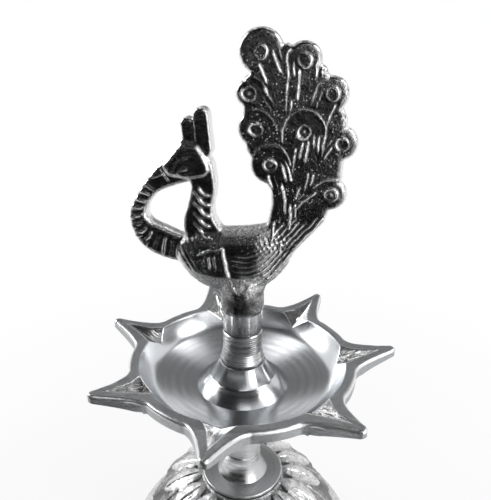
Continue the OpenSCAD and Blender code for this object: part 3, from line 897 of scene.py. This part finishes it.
# Tail: feathers overlap from the top down. Each runs from the root to its eye, with long barbs
# beside its quill and an arched edge round its tip.
feathers = [(6, 99.3, 7.4), (19.5, 97, 6), (28.5, 87, 6), (2.2, 86.7, 5.6), (32.3, 71.5, 6.4),
            (4.5, 75.5, 6.6), (20, 75, 7.4), (29.8, 54.5, 6), (9.3, 63.8, 7.2)]
root_x, root_v = 11.5, 33
barb_pitch = 1.75
eye_r = 2.05
tail_relief = np.zeros_like(px)
for i, (eye_x, eye_v, tip) in enumerate(feathers):
    bend_v = root_v + 0.58 * (eye_v - root_v)
    bend_x = np.interp(bend_v, (35, 46, 60, 75, 95), (12, 15.5, 19.5, 20, 15)) + 0.15 * (eye_x - 18)
    t = np.linspace(0, 1, 26)
    quill = np.stack([(1 - t) ** 2 * root_x + 2 * t * (1 - t) * bend_x + t ** 2 * eye_x,
                      (1 - t) ** 2 * root_v + 2 * t * (1 - t) * bend_v + t ** 2 * eye_v,
                      3.8 + (tip - 3.8) * t], 1)
    away, run, across, half = along(quill, cx, cv)
    length = np.hypot(*np.diff(quill[:, :2], axis=0).T).sum()
    lateral = across * half
    line = np.round(lateral / barb_pitch)
    strength = ease(0.1, 0.9, chance(line, i))
    broken = ease(-0.3, 0.3, np.sin(run / (2.2 + chance(line, i, 7)) + 9 * chance(line, i, 3)))
    rho = np.hypot(cx - eye_x, cv - eye_v)
    turn = np.arctan2(cv - eye_v, cx - eye_x)
    barbs = wave(lateral, barb_pitch, 4) * strength * broken * ease(2.9, 3.9, rho)
    barbs = barbs * (1 - ease(length - 2, length, run))
    ring = np.exp(-((rho - eye_r) / 0.38) ** 2) * (0.65 + 0.35 * np.cos(turn - math.tau * chance(i)))
    ring = ring + 0.5 * np.exp(-(rho / 0.6) ** 2) * (chance(i, 5) > 0.4)
    arch = np.exp(-((away + 0.5) / 0.4) ** 2) * ease(0.82, 0.95, run / length) * (0.4 + 0.6 * chance(i, 8))
    shade = np.exp(-((away - 0.4) / 0.6) ** 2) * ease(0.5, 0.8, run / length)
    tail_relief = np.where(away < 0, 0.6 * barbs + 0.6 * ring + 0.35 * arch, tail_relief - 0.25 * shade)
relief = tail_relief * ease(0.3, 1.8, -tail_away) * ease(33, 39, pv + 0.4 * (px - 8))
for i in range(6):
    inwards = 1.5 + 1.7 * i
    start, end = 14.5 - 0.4 * i, 28.5 - 1.8 * i + 3 * chance(i, 6)
    stroke = [(9.5 + 0.645 * run - 0.764 * inwards, 22 + 0.764 * run + 0.645 * inwards)
              for run in (start, (start + end) / 2, end)]
    relief = np.maximum(relief, ridge(stroke, 0.38, 0.35 + 0.3 * chance(i, 9)))

# Neck and beak: slanting flutes down the nape, and ribs across the beak as it curls to the breast.
for i in range(5):
    flute_v = 55.6 - 3.8 * i
    flute = ((-14.7, flute_v), (-13.1, flute_v - 1.8), (-10.9, flute_v - 2.7))
    relief = relief + ridge(flute, 0.45, 0.65) + ridge([(a - 2.2, b - 1.2) for a, b in flute], 0.4, 0.25)
relief = relief * np.where(neck_away < 0, ease(0.1, 0.8, -neck_away), 1)
run, across = along(beak_path, cx, cv)[1:3]
rib_run = run + 0.9 * across
rib_pitch = 3
rib = np.round(rib_run / rib_pitch)
on_beak = ease(0.1, 0.9, -beak_away) * ease(13, 16, run) * (1 - ease(41, 50, run)) * ease(0.75, 0.3, across)
relief = relief + on_beak * wave(rib_run, rib_pitch, 2.5) * (0.15 + 0.4 * chance(rib, 2))

# Breast, wing and back: fine lines, a wing with a bold edge, and plumes that sweep to the tail.
on_body = ease(0.5, 2.5, -body_away)
breast = on_body * (1 - ease(-17, -14, px)) * ease(20, 24, pv)
relief = relief + breast * wave(0.8 * cx + 0.45 * cv + 0.03 * (cx + 20) ** 2, 1.7, 1.6) * 0.16
for points in (((-15, 31.4), (-11.2, 33.7), (-7.4, 34.5), (-6, 33.8)),
               ((-6.1, 34), (-5.3, 28.4), (-3.8, 22.4))):
    relief = relief + ridge(points, 0.42, 0.75)
for i in range(4):
    stroke = ((-13.4 + 2 * i, 30.8 + 0.5 * i), (-13.2 + 2.1 * i, 26.5))
    relief = relief + ridge(stroke, 0.35, 0.1 + 0.35 * chance(i, 4))
for i in range(7):
    low = i / 6
    sweep = ((-3.6 + 5 * low ** 2, 32.4 - 12.5 * low), (2.4 + 4.5 * low, 32.2 - 10.8 * low),
             (7 + 5.4 * low, 34 - 7.6 * low), (10.5 + 6.5 * low, 37.6 - 4.6 * low))
    relief = relief + ridge(sweep, 0.36, 0.15 + 0.5 * low ** 2)
beads = wave(cx + 0.5 * cv, 1.7, 1) * wave(cv - 0.5 * cx, 1.9, 1)
on_root = np.exp(-((px - 12.5) / 6) ** 2 - ((pv - 36.5 - 0.25 * (px - 12)) / 2.6) ** 2)
relief = relief + 0.55 * beads * on_root * ease(0.5, 2, -np.minimum(body_away, tail_away))

# Head: brow, eye, collar lines and the ridge of the beak.
for points, width, height in (
        (((-24, 60), (-22.4, 63), (-19.5, 65.4), (-16.7, 65.8)), 0.36, 0.22),
        (((-21.6, 60.2), (-19.8, 61.6), (-17.6, 62)), 0.36, 0.28),
        (((-21.2, 60), (-19.4, 59.4), (-17.4, 60.6)), 0.32, 0.16),
        (((-27.8, 62), (-26.4, 59.4), (-25, 57.2)), 0.36, 0.35),
        (((-27, 63.4), (-25, 61)), 0.32, 0.22),
        (((-32.6, 58), (-29, 58.8), (-26, 60.6)), 0.36, 0.3)):
    relief = relief + ridge(points, width, height)

# Skin: rough round the edge of the body and on the stub above its turned band, uneven all over.
on_stub = (1 - ease(stub_h - 1, stub_h + 3, pv)) * (np.hypot(px, py) < stub_r + 4)
above_band = ease(band_h, band_h + 1.5, pv)
flatness = np.abs(facing[1])
limbs_away = np.minimum(np.minimum(neck_away, tail_away), beak_away)
belly = 1 - ease(22, 27, pv)
edge_of_body = (1 - ease(1.4 + 4.6 * belly, 3 + 7 * belly, -body_away + 0.8 * waver_x))
edge_of_body = edge_of_body * ease(-0.8, 0.8, limbs_away) * (body_away < 1)
cast_rough = edge_of_body * (1 - on_stub)
on_tail = ease(0, 1, -tail_away) * ease(36, 42, pv)
broad_side = ease(0.25, 0.65, flatness) * (1 - on_stub)
coarse = 0.1 * lumps(px, py, pv, 2.4) + 0.1 * lumps(px, py, pv, 1.1)
raised = relief * broad_side * (1 - 0.7 * edge_of_body) + coarse * above_band * (0.6 + 0.6 * cast_rough)
move(figure_mesh, px + facing[0] * raised, py + facing[1] * raised, pv + facing[2] * raised)
figure_mesh.transform(Matrix.Translation((0, 0, peacock_low)))
# Painted highlight: this mask of the raised relief paints the ridges bright, and also makes them glossier.
mark(figure_mesh, "buffed_and_highlit", ease(0.1, 0.42, relief) * broad_side)
# Painted highlight: this mask paints the rounded edges bright.
mark(figure_mesh, "rounded", (1 - ease(0.7, 0.93, flatness)) * (1 - on_stub))
mark(figure_mesh, "rough", cast_rough)
# The stub above its band is painted darker: partly a mottled stain, partly painted shade.
mark(figure_mesh, "dull", on_stub * above_band)
mark(figure_mesh, "pitted", np.maximum(on_tail, 0.7 * on_body * (1 - edge_of_body)) * (1 - on_stub))
mark(figure_mesh, "band", 1 - above_band)

# Flat places need fewer faces than the relief does.
most_faces = 194000
lighter = remade(figure_mesh, "DECIMATE", ratio=min(1, most_faces / (2 * len(figure_mesh.polygons))))
lighter.name = "peacock_casting"


def figure_aluminium():
    """Painted shade in the hollows, painted highlights on buffed ridges and rounded edges, and a speckled
    grey where it was cast rough.
    """
    made, tree, surface, where = material("figure_aluminium")
    look = skin(tree, where, 1500)
    buffed_and_highlit, rounded, rough, dull, pitted, band = (
        stored(tree, key) for key in ("buffed_and_highlit", "rounded", "rough", "dull", "pitted", "band"))
    speck = ranged(tree, look["Grain"], 0.42, 0.62)
    # Painted shade: the ground between the ridges is painted dark in place of dark reflections, and the
    # ridges and rounded edges are painted bright as highlights.
    ground = blended(tree, look["Stain"], grey(0.17), grey(0.34))
    colour = blended(tree, buffed_and_highlit, ground, grey(0.92))
    colour = blended(tree, rounded, colour, blended(tree, speck, grey(0.7), grey(0.92)))
    colour = blended(tree, rough, colour, blended(tree, speck, grey(0.4), grey(0.9)))
    # Painted shade, with a mottled stain: the stub above its band is painted darker.
    darkened_stub_colour = blended(tree, look["Stain"], grey(0.06), blended(tree, speck, grey(0.2), grey(0.4)))
    colour = blended(tree, dull, colour, darkened_stub_colour)
    marks = lathe(tree, add(tree, "ShaderNodeSeparateXYZ", Vector=where).outputs["Z"], 0.3)
    colour = blended(tree, band, colour, blended(tree, marks["Lines"], grey(0.5), grey(0.75)))
    gloss = ranged(tree, look["Grain"], 0.3, 0.7, 0.12, 0.26)
    gloss = blended(tree, buffed_and_highlit, gloss, grey(0.13))
    gloss = blended(tree, rough, gloss, grey(0.34))
    grain = times(tree, ranged(tree, look["Grain"], 0.36, 0.64), ranged(tree, rough, 0, 1, 0.03, 0.075))
    pits = times(tree, times(tree, look["Pits"], pitted), ranged(tree, look["Stain"], 0, 1, 0.03, 0.14))
    height = blended(tree, band, sum_of(tree, "ADD", grain, pits), times(tree, marks["Lines"], 0.03))
    glossed(tree, surface, colour, gloss, bumped(tree, height, 1))
    return made


piece(lighter, "finial", figure_aluminium(), "figure_aluminium", "peacock", crease=80)
threaded_stud("finial_thread", "finial", "finial_stud")


# Studio: a white floor and dark cards round and over the lamp, with a slit in front, open low down
# at the right and the back, and six soft lights. The polished metal shows the cards as dark tones.
def seen_rays(tree):
    """Light Path mask of the rays that show the studio: straight, mirrored or through glass."""
    rays = tree.nodes.new("ShaderNodeLightPath").outputs
    seen = sum_of(tree, "MAXIMUM", rays["Is Camera Ray"], rays["Is Glossy Ray"])
    return sum_of(tree, "MAXIMUM", seen, rays["Is Transmission Ray"])


def mixed(tree, share, first, second, surface):
    """Puts a mix of two shaders on a surface."""
    mix = add(tree, "ShaderNodeMixShader", Fac=share)
    tree.links.new(first.outputs[0], mix.inputs[1])
    tree.links.new(second.outputs[0], mix.inputs[2])
    tree.links.new(mix.outputs[0], surface)


def studio_floor():
    """White floor that shows a soft shadow close to the lamp."""
    made, tree, surface, where = material("studio_floor")
    glow = ranged(tree, length_of(tree, where), 0.1, 0.3, 0.84, 1)
    lit = add(tree, "ShaderNodeBsdfDiffuse", Color=grey(0.8))
    white = add(tree, "ShaderNodeEmission", Color=grey(1), Strength=1.0)
    mixed(tree, times(tree, seen_rays(tree), glow), lit, white, surface)
    return made


def stage(bm, name, finish):
    """Makes a bmesh in metres a sheet of the studio."""
    obj = placed(drafted(bm, name), finish)
    return obj


floor = bmesh.new()
bmesh.ops.create_grid(floor, x_segments=1, y_segments=1, size=4)
stage(floor, "floor", studio_floor())


def dark_card():
    """Card that is near black in front of the lamp and dark grey behind it."""
    made, tree, surface, where = material("dark_card")
    depth = add(tree, "ShaderNodeSeparateXYZ", Vector=where).outputs["Y"]
    level = ranged(tree, depth, -0.3, 0.45, 0.02, 0.2)
    tree.links.new(add(tree, "ShaderNodeEmission", Color=grey(1), Strength=level).outputs[0], surface)
    return made


low_card = ((-0.2, -0.12, 0.004), (0.1, -0.12, 0.004)), ((-0.8, -0.5, 0.004), (0.2, -0.5, 0.004)), \
    ((-0.8, -0.5, 0.235), (0.2, -0.5, 0.235))
high_card = ((-0.8, -0.5, 0.265), (0.2, -0.5, 0.265)), ((-0.8, -0.5, 0.7), (0.34, -0.5, 0.7)), \
    ((-0.8, -0.2, 0.9), (0.8, -0.2, 0.9)), ((-0.8, 0.25, 0.9), (0.8, 0.25, 0.9)), \
    ((-0.4, 0.5, 0.7), (0.36, 0.5, 0.7)), ((-0.36, 0.5, 0.27), (0.27, 0.5, 0.27))
left_card = ((-0.8, -0.5, 0.004), (-0.8, -0.5, 0.7)), ((-0.8, 0.1, 0.004), (-0.8, 0.1, 0.7))
right_card = ((0.8, -0.4, 0.3), (0.8, -0.4, 0.8)), ((0.8, 0.5, 0.3), (0.8, 0.5, 0.8))
card = bmesh.new()
for sheet_rows in (low_card, high_card, left_card, right_card):
    rows = [[card.verts.new(corner) for corner in row] for row in sheet_rows]
    for one, two in zip(rows, rows[1:]):
        card.faces.new((one[0], one[1], two[1], two[0]))
dark = stage(card, "dark_card", dark_card())
dark.visible_camera = False
dark.visible_shadow = False
dark.visible_diffuse = False

world = bpy.data.worlds.new("studio")
bpy.context.scene.world = world
world.use_nodes = True
tree = world.node_tree
tree.nodes.clear()
glow = add(tree, "ShaderNodeBackground", Color=grey(1), Strength=0.5)
white = add(tree, "ShaderNodeBackground", Color=grey(1), Strength=1.0)
mixed(tree, seen_rays(tree), glow, white, tree.nodes.new("ShaderNodeOutputWorld").inputs["Surface"])

lamp_middle = Vector((0, 0, 0.1))
for name, power, width, height, place in (("left_light", 1.5, 0.28, 0.28, (-0.55, 0.1, 0.42)),
                                          ("right_light", 1.5, 0.28, 0.28, (0.5, -0.02, 0.56)),
                                          ("front_light", 0.3, 0.3, 0.1, (0.12, -0.48, 0.52)),
                                          ("side_light", 1.0, 0.3, 0.3, (0.5, -0.42, 0.22)),
                                          ("back_left_light", 0.15, 0.16, 0.12, (-0.19, 0.34, 0.665)),
                                          ("back_right_light", 0.15, 0.16, 0.12, (0.15, 0.385, 0.64))):
    data = bpy.data.lights.new(name, "AREA")
    data.energy = power
    data.shape = "RECTANGLE"
    data.size = width
    data.size_y = height
    light = bpy.data.objects.new(name, data)
    light.location = place
    light.rotation_euler = (lamp_middle - Vector(place)).to_track_quat("-Z", "Y").to_euler()
    bpy.context.scene.collection.objects.link(light)

# Camera: a little above the bowl and close to it, turned to the peacock's tail side. Its tilt and
# focal length put the rim and the spout tips where the photograph has them.
camera_place = (0.02615, -0.17923, 0.21133)
camera_down = math.radians(22.42)
camera_turn = math.radians(7.97)
camera_roll = math.radians(0.15)
image_height = 500
focal_pixels = 544.4
view = bpy.data.cameras.new("camera")
view.sensor_width = 36
view.lens = focal_pixels / image_height * view.sensor_width
view.clip_start = 0.01
camera = bpy.data.objects.new("camera", view)
camera.matrix_world = (Matrix.Translation(camera_place) @ Matrix.Rotation(camera_turn, 4, "Z")
                       @ Matrix.Rotation(math.pi / 2 - camera_down, 4, "X")
                       @ Matrix.Rotation(camera_roll, 4, "Z"))
bpy.context.scene.collection.objects.link(camera)
bpy.context.scene.camera = camera
bpy.context.scene.view_settings.view_transform = "Standard"
